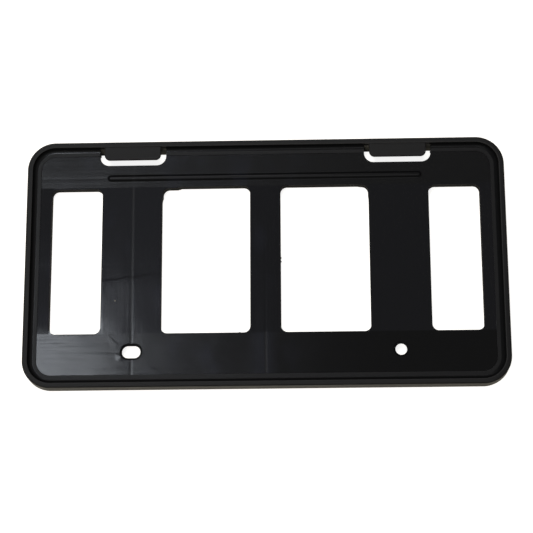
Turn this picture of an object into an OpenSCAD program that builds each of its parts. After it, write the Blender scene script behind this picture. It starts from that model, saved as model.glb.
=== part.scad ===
// Number plate holder: one moulded tray that carries a 12 x 6 inch number plate.
// It lies on its back. X runs along the plate, Y towards the plate's top edge and Z out of the front.
// The origin is the centre of the back plane that the holder stands on.

/* [Number plate] */
// Width of the number plate that the tray carries
plate_w = 304.8; // [300:0.1:320]
// Height of the number plate
plate_h = 152.4; // [150:0.1:170]
// Room between the plate's edge and the foot of the rim
plate_gap = 1.5; // [0.3:0.1:3]

/* [Rim] */
// Depth of the whole holder, from the back plane to the top of the rim
holder_d = 10.5; // [9.5:0.1:16]
// Width of the rim
rim_w = 3.6; // [2.8:0.1:6]
// Radius of the rounded outer edge of the rim
rim_outer_r = 1.2; // [0.4:0.1:1.6]
// Radius of the rounded inner edge of the rim
rim_inner_r = 0.7; // [0.3:0.1:1.1]
// Radius of the hollow fillet at the foot of the rim
foot_r = 3.1; // [1:0.1:3.4]
// Width of the flat ledge that the plate's edge lies on
ledge_w = 2.3; // [1:0.1:5]
// Radius of the holder's outer corners, seen from the front
corner_r = 18.8; // [16:0.1:35]
// Thickness of the skirt that the holder stands on
skirt_t = 2.4; // [1.5:0.1:2.7]
// Draft of the skirt's outer face, in degrees
skirt_draft = 1; // [0:0.25:3]

/* [Panel] */
// Height of the rim above the ledge
rim_rise = 3.8; // [3.6:0.1:5]
// Height of the ledge above the panel
ledge_step = 0.4; // [0.2:0.1:0.8]
// Thickness of the panel
panel_t = 2.4; // [1.8:0.1:3]

/* [Windows] */
// Width of each wide window
wide_w = 59.4; // [30:0.1:60]
// Distance of each wide window's centre from the middle of the holder
wide_x = 39.9; // [35:0.1:42]
// Width of each narrow window
narrow_w = 34.3; // [10:0.1:36]
// Distance of each narrow window's centre from the middle of the holder
narrow_x = 126.9; // [122:0.1:128]
// Distance of the windows' lower edge below the middle of the holder
window_low = 47.8; // [20:0.1:50]
// Distance of the wide windows' upper edge above the middle
wide_high = 53.2; // [20:0.1:54]
// Distance of the narrow windows' upper edge above the middle
narrow_high = 52.2; // [20:0.1:54]
// Radius of the windows' corners
window_r = 4.3; // [1:0.1:8]
// Bevel along the windows' front edges
window_bevel = 0.3; // [0.1:0.1:0.6]
// How far the thickened upper outer corner of the left wide window reaches in from the side
left_pad_side = 0.7; // [0.3:0.1:2]
// How far it reaches down from the top
left_pad_top = 0.8; // [0.3:0.1:2]
// Its length along the side
left_pad_h = 9.2; // [7:0.1:16]
// Its length along the top
left_pad_w = 13; // [6:0.1:16]
// How far the thickened corner of the right wide window reaches in from the side
right_pad_side = 0.3; // [0.2:0.1:2]
// How far it reaches down from the top
right_pad_top = 0.4; // [0.2:0.1:2]
// Its length along the side
right_pad_h = 9.4; // [7:0.1:16]
// Its length along the top
right_pad_w = 7.4; // [6:0.1:16]
// Length over which these corners run out into the window's edges
pad_ramp = 2.4; // [1:0.1:4]

/* [Tabs] */
// Distance between the tabs' centres
tab_pitch = 179; // [120:0.1:200]
// Width of each tab
tab_w = 38.2; // [20:0.1:40]
// How far each tab reaches in from the inner face of the rim
tab_reach = 9.1; // [5:0.1:10]
// Thickness of each tab
tab_t = 1.6; // [1:0.1:1.7]
// Height of the rim above the tabs
tab_drop = 0.7; // [0.3:0.1:1]
// Radius of the tabs' free corners
tab_r = 3.7; // [1:0.1:6]
// Bevel along the tabs' free front edge
tab_bevel = 0.5; // [0.2:0.1:0.8]
// Width of the opening behind each tab beyond the tab, at each side
tab_side_gap = 3.3; // [2:0.1:6]
// Width of the open slit below each tab
tab_slit = 2.9; // [2:0.1:4]
// Radius of the lower corners of the openings behind the tabs
tab_opening_r = 6.4; // [2:0.1:9]
// How much the rim's wall behind a tab thickens towards the back plane
tab_wall_flare = 2.6; // [0.5:0.1:4]

/* [Bead] */
// Length of the raised bead
bead_l = 213; // [100:1:240]
// Distance of the bead's middle to the left of the middle of the holder
bead_shift = 0.6; // [-3:0.1:3]
// Distance of the bead above the middle of the holder
bead_y = 59.7; // [58:0.1:62]
// Radius of the bead's round crest
bead_r = 1.9; // [1.4:0.1:1.9]
// Height of the bead above the panel
bead_h = 1.4; // [0.8:0.1:1.7]
// Radius of the hollow fillet along the bead's foot
bead_foot_r = 1; // [0.4:0.1:1]

/* [Fixing holes] */
// Distance between the two fixing holes, as on the number plate
hole_pitch = 177.8; // [150:0.1:180]
// Distance of the fixing holes below the middle of the holder
hole_low = 60; // [56:0.1:63]
// Diameter of the round hole at the right
hole_d = 7.7; // [5:0.1:9]
// Width of the slotted hole at the left
slot_w = 12.3; // [9.5:0.1:14]
// Height of the slotted hole
slot_h = 8.3; // [5:0.1:9]
// Width of the shallow dish round each hole
dish_w = 1.3; // [0.5:0.1:2]
// Depth of that dish
dish_d = 0.4; // [0.2:0.1:0.6]
// Widening of the bore behind the thin land of each hole
counterbore = 1.6; // [0.5:0.1:2.5]
// Wall of the boss behind each hole
boss_wall = 1.8; // [1:0.1:3]

/* [Back ribs and flanges] */
// Thickness of the stiffening ribs
rib_t = 1.6; // [1:0.1:2.4]
// Distance of the ribs' and flanges' feet from the back plane
rib_clear = 0.5; // [0.2:0.1:1]
// Distance of the middle cross rib below the middle of the holder
mid_rib_low = 1; // [0:0.5:10]
// Distance of the upper cross rib above the middle of the holder
top_rib_high = 59.7; // [58:0.1:62]
// Thickness of the flange that stands round each window on the back
flange_t = 1.6; // [1:0.1:2.4]

/* [Moulding marks] */
// Radius of the gate stubs and flash beads left on the windows' edges
stub_r = 0.6; // [0.3:0.1:1]
// Height above the middle of the two gate stubs on the right wide window's inner edge
gate_y = 1.6; // [-20:0.1:20]
// Distance between the two gate stubs
gate_pitch = 2.6; // [2.1:0.1:6]
// Distance of the flash bead on that window's upper edge from its inner edge
upper_flash_in = 4.8; // [4.5:0.1:20]
// Distance of the flash bead on the left wide window's lower edge from its inner edge
lower_flash_in = 7; // [5:0.1:20]

/* [Hidden] */
$fn = 64;

// Overlap that makes two solids one, and the overshoot of a cutter
over = 1;

// Colour of the black moulding
black = [0.14, 0.14, 0.15];

// Plan of the holder, from the outside in
margin = rim_w + foot_r + plate_gap;
outer_w = plate_w + 2 * margin;
outer_h = plate_h + 2 * margin;
step_in = rim_w + foot_r + ledge_w;

// Heights above the back plane
ledge_z = holder_d - rim_rise;
panel_z = ledge_z - ledge_step;
panel_back = panel_z - panel_t;
tab_top = holder_d - tab_drop;

// Outward reach of the skirt's foot, from its draft
skirt_flare = (holder_d - rim_outer_r) * tan(skirt_draft);

// Radius of the small rounding on the ledge's inner edge
step_r = ledge_step / 2;

// Height of the windows and of their centres
wide_h = window_low + wide_high;
wide_y = (wide_high - window_low) / 2;
narrow_h = window_low + narrow_high;
narrow_y = (narrow_high - window_low) / 2;

// The bead's fillet touches the round crest: place of its centre, height of the touching line, straight length
bead_centres = bead_r + bead_foot_r;
bead_centres_z = bead_foot_r - bead_h + bead_r;
bead_foot_x = sqrt(bead_centres * bead_centres - bead_centres_z * bead_centres_z);
bead_foot_h = bead_foot_r * (1 - bead_centres_z / bead_centres);
bead_straight = bead_l - 2 * bead_foot_x;

// The openings behind the tabs: their width, lower edge and lower corners
tab_root_y = outer_h / 2 - rim_w;
tab_free_y = tab_root_y - tab_reach;
tab_opening_w = tab_w + 2 * tab_side_gap;
tab_opening_y = tab_free_y - tab_slit;

// Thickness of the cheeks at both ends of the thickened wall behind a tab
cheek_t = 1.6;

// Fixing holes, left slot and right hole. The slot's round ends leave a short straight stretch between them.
hole_x = hole_pitch / 2;
slot_straight = 0.1;
slot_r = (slot_h - slot_straight) / 2;

// Gate stubs and flash beads, each as [x, y] on a window's edge
wide_inner_x = wide_x - wide_w / 2;
stubs = [
    [wide_inner_x, gate_y + gate_pitch / 2],
    [wide_inner_x, gate_y - gate_pitch / 2],
    [wide_inner_x + upper_flash_in, wide_high],
    [-wide_inner_x - lower_flash_in, -window_low]
];

// A rectangle with round corners, centred on the origin
module round_rect(w, h, r) {
    square([w, h - 2 * r], center = true);
    square([w - 2 * r, h], center = true);
    for (sx = [-1, 1], sy = [-1, 1])
        translate([sx * (w / 2 - r), sy * (h / 2 - r)])
            circle(r);
}

// A layer whose lower outline is round_rect(w, h, r) and whose upper outline is larger by grow all round.
// Its flat sides are two crossed bars with sloping faces, and its corners are cones.
module round_rect_layer(w, h, r, t, grow) {
    rotate([90, 0, 0])
        translate([0, 0, r - h / 2])
            linear_extrude(h - 2 * r)
                sloping_bar(w, t, grow);
    rotate([90, 0, 90])
        translate([0, 0, r - w / 2])
            linear_extrude(w - 2 * r)
                sloping_bar(h, t, grow);
    for (sx = [-1, 1], sy = [-1, 1])
        translate([sx * (w / 2 - r), sy * (h / 2 - r), 0])
            cylinder(h = t, r1 = r, r2 = r + grow);
}

// Section of a sloping bar
module sloping_bar(w, t, grow) {
    polygon([
        [-w / 2, 0],
        [w / 2, 0],
        [w / 2 + grow, t],
        [-w / 2 - grow, t]
    ]);
}

// Section through the rim and ledge. X runs inwards from the outer face, Y is the height.
module rim_section() {
    difference() {
        union() {
            skirt_section();
            rim_top_section();
            ledge_section();
        }
        translate([rim_w + foot_r, ledge_z + foot_r])
            circle(foot_r);
    }
}

// The skirt, with the draft of its outer face
module skirt_section() {
    polygon([
        [-skirt_flare, 0],
        [skirt_t - skirt_flare, 0],
        [skirt_t, panel_back],
        [skirt_t, ledge_z],
        [0, holder_d - rim_outer_r]
    ]);
}

// The rim's bar with its two rounded edges
module rim_top_section() {
    translate([0, panel_back])
        square([rim_w, holder_d - panel_back - rim_outer_r]);
    translate([rim_outer_r, panel_back])
        square([rim_w - rim_outer_r - rim_inner_r, holder_d - panel_back]);
    translate([rim_outer_r, holder_d - rim_outer_r])
        circle(rim_outer_r);
    translate([rim_w - rim_inner_r, holder_d - rim_inner_r])
        circle(rim_inner_r);
    translate([rim_outer_r, panel_back])
        square([rim_w - rim_outer_r, holder_d - panel_back - rim_inner_r]);
}

// The ledge with the block that the hollow fillet is cut from
module ledge_section() {
    translate([skirt_t - over, panel_back])
        square([step_in - skirt_t + over - step_r, ledge_z - panel_back]);
    translate([skirt_t - over, panel_back])
        square([step_in - skirt_t + over, ledge_z - panel_back - step_r]);
    translate([step_in - step_r, ledge_z - step_r])
        circle(step_r);
    translate([rim_w - over, ledge_z - over])
        square([foot_r + over, foot_r + over]);
}

// One straight side of the rim, of length l along X. Its outer face stands at Y = 0.
module rim_side(l) {
    rotate([90, 0, 90])
        translate([0, 0, -l / 2])
            linear_extrude(l)
                mirror([1, 0])
                    rim_section();
}

// One quarter turn of the rim round the centre of an outer corner
module rim_corner() {
    rotate_extrude(angle = 90)
        translate([corner_r, 0])
            mirror([1, 0])
                rim_section();
}

// The rim all round: four straight sides and four quarter turns of one section
module rim_ring() {
    for (turn = [0, 180]) {
        rotate([0, 0, turn])
            translate([0, outer_h / 2, 0])
                rim_side(outer_w - 2 * corner_r);
        rotate([0, 0, turn + 90])
            translate([0, outer_w / 2, 0])
                rim_side(outer_h - 2 * corner_r);
    }
    translate([outer_w / 2 - corner_r, outer_h / 2 - corner_r, 0])
        rim_corner();
    translate([corner_r - outer_w / 2, outer_h / 2 - corner_r, 0])
        rotate([0, 0, 90])
            rim_corner();
    translate([corner_r - outer_w / 2, corner_r - outer_h / 2, 0])
        rotate([0, 0, 180])
            rim_corner();
    translate([outer_w / 2 - corner_r, corner_r - outer_h / 2, 0])
        rotate([0, 0, 270])
            rim_corner();
}

// The flat panel, whose edge is buried in the ledge
module panel() {
    inset = step_in - over;
    translate([0, 0, panel_back])
        linear_extrude(panel_t)
            round_rect(outer_w - 2 * inset, outer_h - 2 * inset, corner_r - inset);
}

// Cutter of one window, with the bevel of its front edge
module window_cut(w, h, r) {
    translate([0, 0, -over])
        linear_extrude(panel_z + 2 * over)
            round_rect(w, h, r);
    translate([0, 0, panel_z - window_bevel])
        round_rect_layer(w, h, r, 2 * window_bevel, 2 * window_bevel);
}

// The four windows
module windows() {
    for (side = [-1, 1]) {
        translate([side * wide_x, wide_y, 0])
            window_cut(wide_w, wide_h, window_r);
        translate([side * narrow_x, narrow_y, 0])
            window_cut(narrow_w, narrow_h, window_r);
    }
}

// Blocks round the windows, which the windows' cutters leave as flanges on the back
module flange_blocks() {
    translate([0, 0, rib_clear])
        linear_extrude(panel_back - rib_clear + over)
            for (side = [-1, 1]) {
                translate([side * wide_x, wide_y])
                    round_rect(wide_w + 2 * flange_t, wide_h + 2 * flange_t, window_r + flange_t);
                translate([side * narrow_x, narrow_y])
                    round_rect(narrow_w + 2 * flange_t, narrow_h + 2 * flange_t, window_r + flange_t);
            }
}

// A thickened upper right window corner, with the meeting point of the window's edges at the origin.
// It reaches in by side and down by top, and both arms run out into the window's edges.
module corner_pad(side, top, h, w) {
    round_x = -side - window_r;
    round_y = -top - window_r;
    end_x = min(-w, round_x - pad_ramp);
    end_y = min(-h, round_y - pad_ramp);
    translate([0, 0, rib_clear])
        linear_extrude(panel_z - window_bevel - rib_clear)
            difference() {
                polygon([
                    [over, over],
                    [end_x, over],
                    [end_x, 0],
                    [end_x + pad_ramp, -top],
                    [round_x, -top],
                    [round_x, round_y],
                    [-side, round_y],
                    [-side, end_y + pad_ramp],
                    [0, end_y],
                    [over, end_y]
                ]);
                translate([round_x, round_y])
                    circle(window_r);
            }
}

// The two thickened corners, at the upper outer corners of the wide windows
module corner_pads() {
    translate([wide_x + wide_w / 2, wide_high, 0])
        corner_pad(right_pad_side, right_pad_top, right_pad_h, right_pad_w);
    mirror([1, 0, 0])
        translate([wide_x + wide_w / 2, wide_high, 0])
            corner_pad(left_pad_side, left_pad_top, left_pad_h, left_pad_w);
}

// The stiffening bead: a half-round crest with ball ends and a hollow fillet round its foot
module bead() {
    translate([-bead_shift, bead_y, panel_z]) {
        intersection() {
            union() {
                translate([0, 0, bead_h - bead_r])
                    rotate([0, 90, 0])
                        cylinder(h = bead_straight, r = bead_r, center = true);
                for (end = [-1, 1])
                    translate([end * bead_straight / 2, 0, bead_h - bead_r])
                        sphere(bead_r);
            }
            translate([-bead_l / 2, -bead_foot_x, -over])
                cube([bead_l, 2 * bead_foot_x, bead_h + 2 * over]);
        }
        bead_foot();
    }
}

// The hollow fillet round the bead's foot, as a straight stretch and two half turns
module bead_foot() {
    rotate([90, 0, 90])
        translate([0, 0, -bead_straight / 2])
            linear_extrude(bead_straight) {
                bead_foot_section();
                mirror([1, 0])
                    bead_foot_section();
            }
    for (end = [0, 180])
        rotate([0, 0, end])
            translate([bead_straight / 2, 0, 0])
                rotate([0, 0, -90])
                    rotate_extrude(angle = 180)
                        bead_foot_section();
}

// Section of the fillet on one side of the bead, up to where it touches the crest's circle
module bead_foot_section() {
    difference() {
        translate([0, -over])
            square([bead_foot_x, over + bead_foot_h]);
        translate([bead_foot_x, bead_foot_r])
            circle(bead_foot_r);
    }
}

// One retaining tab, centred on X = 0, with its root buried in the rim
module tab() {
    reach = tab_reach + over;
    translate([0, tab_free_y + reach / 2, tab_top - tab_t]) {
        linear_extrude(tab_t - tab_bevel)
            tab_plan(reach);
        translate([0, 0, tab_t - tab_bevel])
            intersection() {
                linear_extrude(tab_bevel)
                    tab_plan(reach);
                translate([0, tab_r, 0])
                    round_rect_layer(tab_w, reach + 2 * tab_r, tab_r, tab_bevel, -tab_bevel);
            }
    }
}

// Outline of a tab, with its two free corners rounded
module tab_plan(reach) {
    translate([0, tab_r / 2])
        square([tab_w, reach - tab_r], center = true);
    translate([0, -reach / 2 + tab_r / 2])
        square([tab_w - 2 * tab_r, tab_r], center = true);
    for (side = [-1, 1])
        translate([side * (tab_w / 2 - tab_r), tab_r - reach / 2])
            circle(tab_r);
}

// The block behind a tab that the opening's sloping upper wall is cut from
module tab_wall() {
    depth = cheek_t + tab_wall_flare + rim_w - skirt_t + over / 2;
    translate([-tab_opening_w / 2 - cheek_t, tab_root_y - tab_wall_flare - cheek_t, 0])
        cube([tab_opening_w + 2 * cheek_t, depth, panel_back + over]);
}

// Cutter of the opening behind a tab. Its upper wall slopes, and its two lower corners are round.
module tab_opening() {
    top = holder_d - rim_inner_r;
    intersection() {
        translate([0, 0, -over])
            linear_extrude(top + over) {
                translate([0, tab_opening_y + tab_opening_r + outer_h / 4])
                    square([tab_opening_w, outer_h / 2], center = true);
                translate([0, tab_opening_y + outer_h / 4])
                    square([tab_opening_w - 2 * tab_opening_r, outer_h / 2], center = true);
                for (side = [-1, 1])
                    translate([side * (tab_opening_w / 2 - tab_opening_r), tab_opening_y + tab_opening_r])
                        circle(tab_opening_r);
            }
        rotate([90, 0, 90])
            translate([0, 0, -tab_opening_w])
                linear_extrude(2 * tab_opening_w)
                    polygon([
                        [0, -over],
                        [tab_root_y - tab_wall_flare * (1 + over / top), -over],
                        [tab_root_y, top],
                        [0, top]
                    ]);
    }
}

// Boss behind a slot of width w, height h and corner radius r
module boss(w, h, r) {
    wall = counterbore + boss_wall;
    linear_extrude(panel_back + over)
        round_rect(w + 2 * wall, h + 2 * wall, r + wall);
}

// Cutter of a hole: the land, the shallow dish at the front and the wider counterbore at the back
module hole_cut(w, h, r) {
    translate([0, 0, -over])
        linear_extrude(panel_z + 2 * over)
            round_rect(w, h, r);
    translate([0, 0, panel_z - dish_d])
        round_rect_layer(w, h, r, 2 * dish_d, 2 * dish_w);
    translate([0, 0, -over])
        linear_extrude(panel_back + over)
            round_rect(w + 2 * counterbore, h + 2 * counterbore, r + counterbore);
}

// The round hole is a true bore
module round_hole_cut() {
    translate([0, 0, -over])
        cylinder(h = panel_z + 2 * over, d = hole_d);
    translate([0, 0, panel_z - dish_d])
        cylinder(h = 2 * dish_d, d1 = hole_d, d2 = hole_d + 4 * dish_w);
    translate([0, 0, -over])
        cylinder(h = panel_back + over, d = hole_d + 2 * counterbore);
}

// The grid of ribs on the back, which the windows' flanges interrupt
module ribs() {
    rib_h = panel_back - rib_clear + over;
    inner_w = outer_w - 2 * (skirt_t - over);
    inner_h = outer_h - 2 * (skirt_t - over);
    for (x = [-hole_x, 0, hole_x])
        translate([x - rib_t / 2, -inner_h / 2, rib_clear])
            cube([rib_t, inner_h, rib_h]);
    for (y = [-hole_low, -mid_rib_low, top_rib_high])
        translate([-inner_w / 2, y - rib_t / 2, rib_clear])
            cube([inner_w, rib_t, rib_h]);
}

// Gate stubs and flash beads on the windows' edges
module moulding_marks() {
    for (place = stubs)
        translate([place[0], place[1], panel_back + panel_t / 4])
            cylinder(h = panel_t / 2, r = stub_r);
}

module plate_holder() {
    color(black) {
        difference() {
            union() {
                rim_ring();
                panel();
                bead();
                ribs();
                flange_blocks();
                translate([hole_x, -hole_low, 0])
                    cylinder(h = panel_back + over, d = hole_d + 2 * (counterbore + boss_wall));
                translate([-hole_x, -hole_low, 0])
                    boss(slot_w, slot_h, slot_r);
                for (side = [-1, 1])
                    translate([side * tab_pitch / 2, 0, 0])
                        tab_wall();
            }
            windows();
            translate([hole_x, -hole_low, 0])
                round_hole_cut();
            translate([-hole_x, -hole_low, 0])
                hole_cut(slot_w, slot_h, slot_r);
            for (side = [-1, 1])
                translate([side * tab_pitch / 2, 0, 0])
                    tab_opening();
        }
        corner_pads();
        for (side = [-1, 1])
            translate([side * tab_pitch / 2, 0, 0])
                tab();
        moulding_marks();
    }
}

plate_holder();
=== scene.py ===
from math import acos, cos, exp, pi, radians, sin, sqrt
from types import SimpleNamespace

import bmesh
import bpy
from mathutils import Matrix, Vector


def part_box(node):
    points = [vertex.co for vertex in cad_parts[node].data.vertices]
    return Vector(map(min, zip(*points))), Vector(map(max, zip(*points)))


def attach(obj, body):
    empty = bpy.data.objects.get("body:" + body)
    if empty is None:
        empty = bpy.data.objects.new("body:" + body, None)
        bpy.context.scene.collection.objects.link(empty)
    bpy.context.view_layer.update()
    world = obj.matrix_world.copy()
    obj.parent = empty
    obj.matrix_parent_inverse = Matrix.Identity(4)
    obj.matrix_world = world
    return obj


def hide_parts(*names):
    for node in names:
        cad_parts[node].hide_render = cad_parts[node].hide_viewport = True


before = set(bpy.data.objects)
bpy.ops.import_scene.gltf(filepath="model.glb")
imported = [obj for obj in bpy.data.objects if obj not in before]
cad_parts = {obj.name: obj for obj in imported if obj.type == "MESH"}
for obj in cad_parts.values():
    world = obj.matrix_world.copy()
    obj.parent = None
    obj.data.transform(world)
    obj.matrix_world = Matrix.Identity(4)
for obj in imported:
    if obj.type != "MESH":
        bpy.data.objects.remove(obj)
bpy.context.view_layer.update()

# One millimetre. The holder is shaped in millimetres and brought to metres at the end.
MM = 0.001

# Outside of the holder. The foot of the skirt stands out by the draft of the skirt's outer face.
FOOT_REACH = 0.162
solid_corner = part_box("plate_holder")[1] / MM
DEPTH = solid_corner.z
HALF_X = solid_corner.x - FOOT_REACH
HALF_Y = solid_corner.y - FOOT_REACH
CORNER_R = 18.8

# Section through the rim, counted inwards from the outer face: rim, hollow foot, skirt and ledge
RIM_W, RIM_OUTER_R, RIM_INNER_R = 3.6, 1.2, 0.7
FOOT_R = 3.1
SKIRT_T, SKIRT_EDGE_R = 2.4, 0.3
LEDGE_IN, LEDGE_EDGE_R = 9.0, 0.25

# Heights above the back plane: how far the ledge lies below the rim and the panel below the ledge
LEDGE_DROP, LEDGE_STEP, PANEL_T = 3.8, 0.4, 2.4
LEDGE_Z = DEPTH - LEDGE_DROP
PANEL_Z = LEDGE_Z - LEDGE_STEP
PANEL_BACK = PANEL_Z - PANEL_T

# Inner face of the rim along the upper side, from which the tabs stand out
ROOT_Y = HALF_Y - RIM_W

# Windows: half width, distance from the middle and upper edge, then what all four share
WIDE_HALF, WIDE_X, WIDE_HIGH = 29.7, 39.9, 53.2
NARROW_HALF, NARROW_X, NARROW_HIGH = 17.15, 126.9, 52.2
WINDOW_LOW, WINDOW_R = -47.8, 4.3

# Rounded front edge of windows and openings
EDGE_R = 0.1

# Thickened upper outer corners of the wide windows, left and right: how far they reach in from the side
# and down from the top, their length along both, and the length over which they run out
PADS = {-1: (0.7, 0.8, 9.2, 13), 1: (0.3, 0.4, 9.4, 7.4)}
PAD_RAMP = 2.4

# Tabs and the openings behind them, whose upper wall is thicker towards the back
TAB_X, TAB_HALF, TAB_REACH, TAB_T, TAB_DROP, TAB_R = 89.5, 19.1, 9.1, 1.6, 0.7, 3.7
TAB_EDGE_R = 0.5
OPENING_SIDE, OPENING_SLIT, OPENING_R = 3.3, 2.9, 6.4
OPENING_HALF = TAB_HALF + OPENING_SIDE
WALL_FLARE, CHEEK_T = 2.6, 1.6

# Bead
BEAD_HALF, BEAD_SHIFT, BEAD_Y, BEAD_R, BEAD_H, BEAD_FOOT_R = 106.5, -0.6, 59.7, 2.2, 1.4, 1.3

# Fixing holes, with the dish in front and the counterbore behind. The dish has a flatter lip.
HOLE_X, HOLE_Y, HOLE_R = 88.9, -60, 3.85
SLOT_HALF_W, SLOT_HALF_H = 6.15, 4.15
DISH_W, DISH_D, DISH_LIP_W, DISH_LIP_D = 1.4, 0.9, 0.15, 0.1
COUNTERBORE, BOSS_WALL = 1.6, 1.8

# Half of the straight left in the round ends of the slot and the bead, so that no two points coincide
SLOT_STRAIGHT, BEAD_STRAIGHT = 0.05, 0.01

# Ribs and flanges on the back
RIB_T, RIB_CLEAR = 1.6, 0.5
MID_RIB_Y, TOP_RIB_Y = -1, 59.7

# Gate stubs and flash beads left on the windows' edges: radius, height, how high in the panel they begin,
# as a share of its thickness, and places
STUB_R, STUB_H, STUB_START = 0.6, 1.2, 0.25
WIDE_INNER = WIDE_X - WIDE_HALF
STUBS = ((WIDE_INNER, 2.9), (WIDE_INNER, 0.3), (WIDE_INNER + 4.8, WIDE_HIGH), (-WIDE_INNER - 7, WINDOW_LOW))

# How far a cutter passes the face it cuts, and how deep joined solids sink into each other
OVER = 1

# Segments in a quarter turn: of the rim's corners, of small outlines, of rounded edges and of the stubs'
CORNER_STEPS, OUTLINE_STEPS, EDGE_STEPS, STUB_STEPS = 24, 12, 5, 3

# Segments of the section's roundings: the ledge's edge, the wall's foot and the rim's two edges
LEDGE_STEPS, FOOT_STEPS, INNER_STEPS, OUTER_STEPS = 4, 14, 6, 8

# Edges that turn by more than this many degrees stay sharp
SHARP_ANGLE = 24

# At a sharp corner an outline grows by at most the wanted distance divided by this
SHARPEST = 0.5


# The camera

# Fitted to the photograph: where it aims, how far it stands and how it is turned
AIM = Vector((0.82, -4.26, 10.5)) * MM
DISTANCE = 1084.5 * MM
TILT, YAW, ROLL = (radians(angle) for angle in (14.52, 1.753, -0.745))
LENS, SENSOR = 110.46, 36


def make_camera():
    back = Vector((sin(YAW), -cos(YAW) * sin(TILT), cos(YAW) * cos(TILT)))
    right = (Vector((1, 0, 0)) - back * back.x).normalized()
    up = back.cross(right)
    right_rolled = cos(ROLL) * right + sin(ROLL) * up
    up_rolled = cos(ROLL) * up - sin(ROLL) * right
    data = bpy.data.cameras.new("camera")
    data.lens = LENS
    data.sensor_width = SENSOR
    camera = bpy.data.objects.new("camera", data)
    turn = Matrix((right_rolled, up_rolled, back)).transposed().to_4x4()
    camera.matrix_world = Matrix.Translation(AIM + DISTANCE * back) @ turn
    bpy.context.collection.objects.link(camera)
    bpy.context.scene.camera = camera


# Outlines and skins


def arc(centre, radius, start, end, steps):
    """Points on a circle from one angle to another, in degrees, both ends included."""
    points = []
    for i in range(steps + 1):
        angle = radians(start + (end - start) * i / steps)
        points.append((centre[0] + radius * cos(angle), centre[1] + radius * sin(angle)))
    return points


def circle(centre, radius, steps=4 * OUTLINE_STEPS):
    return arc(centre, radius, 0, 360, steps)[:-1]


def round_rect(half_x, half_y, radius, centre=(0, 0)):
    """Outline of a rectangle with round corners, anticlockwise from its right side."""
    x, y = half_x - radius, half_y - radius
    points = []
    for turn, (sx, sy) in enumerate(((1, 1), (-1, 1), (-1, -1), (1, -1))):
        corner = (centre[0] + sx * x, centre[1] + sy * y)
        points += arc(corner, radius, 90 * turn, 90 * turn + 90, OUTLINE_STEPS)
    return points


def tongue(left, right, low, high, radius):
    """Outline with two round lower corners and two square upper ones."""
    points = arc((left + radius, low + radius), radius, 180, 270, OUTLINE_STEPS)
    points += arc((right - radius, low + radius), radius, 270, 360, OUTLINE_STEPS)
    return points + [(right, high), (left, high)]


def offset(outline, grow):
    """The outline moved outwards by grow, square to its sides."""
    count = len(outline)
    moved = []
    for i, (x, y) in enumerate(outline):
        before, after = outline[i - 1], outline[(i + 1) % count]
        first = Vector((y - before[1], before[0] - x)).normalized()
        second = Vector((after[1] - y, x - after[0])).normalized()
        mean = (first + second).normalized()
        reach = grow / max(mean.dot(first), SHARPEST)
        moved.append((x + mean.x * reach, y + mean.y * reach))
    return moved


def stack(bm, outline, levels):
    """A closed skin through copies of an outline, each level given as its height and growth."""
    rings = [[bm.verts.new((x, y, z)) for x, y in offset(outline, grow)] for z, grow in levels]
    count = len(outline)
    for lower, upper in zip(rings, rings[1:]):
        for i in range(count):
            j = (i + 1) % count
            bm.faces.new((lower[i], lower[j], upper[j], upper[i]))
    bm.faces.new(rings[0][::-1])
    bm.faces.new(rings[-1])
    return rings


def rounded_levels(top, radius, grow, steps=EDGE_STEPS):
    """Levels of a stack that follow a quarter circle up to the top; grow is 1 to flare, -1 to draw in."""
    levels = []
    for i in range(steps + 1):
        angle = pi / 2 * i / steps
        levels.append((top - radius + radius * sin(angle), grow * radius * (1 - cos(angle))))
    return levels


def block(bm, low, high):
    """A plain box between two corners."""
    size = [b - a for a, b in zip(low, high)]
    middle = [(a + b) / 2 for a, b in zip(low, high)]
    matrix = Matrix.Translation(middle) @ Matrix.Diagonal((*size, 1))
    bmesh.ops.create_cube(bm, size=1, matrix=matrix)


def make_object(name, bm):
    mesh = bpy.data.meshes.new(name)
    bmesh.ops.recalc_face_normals(bm, faces=bm.faces)
    bm.to_mesh(mesh)
    bm.free()
    made = bpy.data.objects.new(name, mesh)
    bpy.context.collection.objects.link(made)
    return made


def flatten(obj):
    """Applies an object's modifiers to its mesh."""
    graph = bpy.context.evaluated_depsgraph_get()
    mesh = bpy.data.meshes.new_from_object(obj.evaluated_get(graph))
    obj.modifiers.clear()
    old = obj.data
    obj.data = mesh
    bpy.data.meshes.remove(old)


# Node trees


def add_node(tree, kind, values=None, **settings):
    made = tree.nodes.new(kind)
    for name, value in settings.items():
        setattr(made, name, value)
    for name, value in (values or {}).items():
        made.inputs[name].default_value = value
    return made


def new_geometry_tree(name, inputs):
    """A geometry tree with named inputs, each with its socket type, and its first and last node."""
    tree = bpy.data.node_groups.new(name, "GeometryNodeTree")
    tree.interface.new_socket("Geometry", in_out="INPUT", socket_type="NodeSocketGeometry")
    for label, kind in inputs.items():
        tree.interface.new_socket(label, in_out="INPUT", socket_type=kind)
    tree.interface.new_socket("Geometry", in_out="OUTPUT", socket_type="NodeSocketGeometry")
    return tree, add_node(tree, "NodeGroupInput"), add_node(tree, "NodeGroupOutput")


def end_geometry_tree(tree, geometry, material, result):
    """Makes the geometry real, gives it the material and passes it out of the tree."""
    realize = add_node(tree, "GeometryNodeRealizeInstances")
    finish = add_node(tree, "GeometryNodeSetMaterial", {"Material": material})
    tree.links.new(geometry, realize.inputs[0])
    tree.links.new(realize.outputs[0], finish.inputs["Geometry"])
    tree.links.new(finish.outputs[0], result.inputs[0])


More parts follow.
